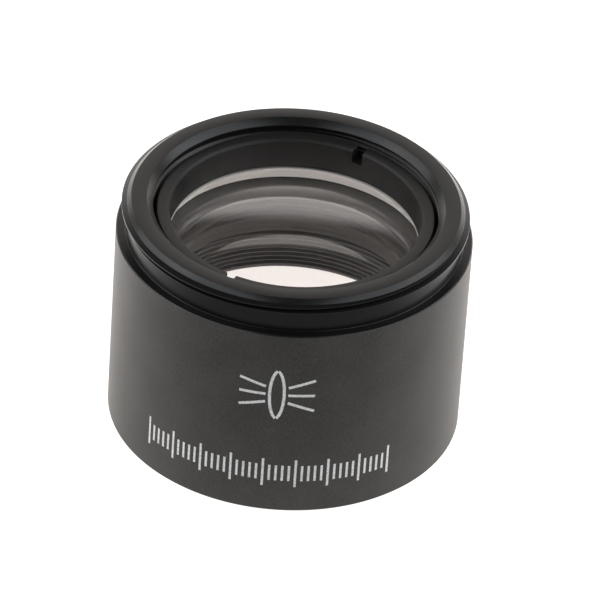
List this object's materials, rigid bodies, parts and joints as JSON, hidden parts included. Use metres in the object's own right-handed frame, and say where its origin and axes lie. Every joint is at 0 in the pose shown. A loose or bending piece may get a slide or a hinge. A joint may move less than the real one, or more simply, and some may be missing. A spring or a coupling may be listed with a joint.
{
  "type": "barlow lens",
  "caption": "Short round barlow lens: black barrel with a threaded collar on top, glass elements inside held by slotted retaining rings that unscrew.",
  "frame": {"origin": "centre of the foot face, on the optical axis", "axes": "+Z along the optical axis towards the threaded collar; -Y is the marked front"},
  "size_m": [0.0494, 0.0494, 0.0349],
  "materials": {
    "barrel_black": "matt black anodised aluminium, bright-turned and glossier on the collar",
    "ring_black": "satin black anodised aluminium",
    "lens_glass": "polished optical glass with a ground edge",
    "engraving": "light grey laser-marked anodising"
  },
  "bodies": {
    "barrel": {"barrel": "barrel_black"},
    "upper_lens": {"upper_flint": "lens_glass", "upper_crown": "lens_glass"},
    "upper_ring": {"upper_retaining_ring": "ring_black"},
    "lower_lens": {"lower_lens": "lens_glass"},
    "lower_ring": {"lower_retaining_ring": "ring_black"}
  },
  "joints": [
    {"name": "upper_lens_lift", "type": "slide", "parent": "barrel", "child": "upper_lens", "axis": [0, 0, 1], "range_m": [0, 0.00562]},
    {"name": "upper_ring_turn", "type": "hinge", "parent": "upper_lens", "child": "upper_ring", "pos_m": [0, 0, 0.0309], "axis": [0, 0, 1], "range_deg": [0, 2700]},
    {"name": "lower_lens_drop", "type": "slide", "parent": "barrel", "child": "lower_lens", "axis": [0, 0, -1], "range_m": [0, 0.009]},
    {"name": "lower_ring_turn", "type": "hinge", "parent": "lower_lens", "child": "lower_ring", "pos_m": [0, 0, 0.012], "axis": [0, 0, -1], "range_deg": [0, 3240]}
  ],
  "couplings": [
    {"joint": "upper_ring_turn", "follows": "upper_lens_lift", "rad_per_m": 8377.6},
    {"joint": "lower_ring_turn", "follows": "lower_lens_drop", "rad_per_m": 6283.2}
  ]
}
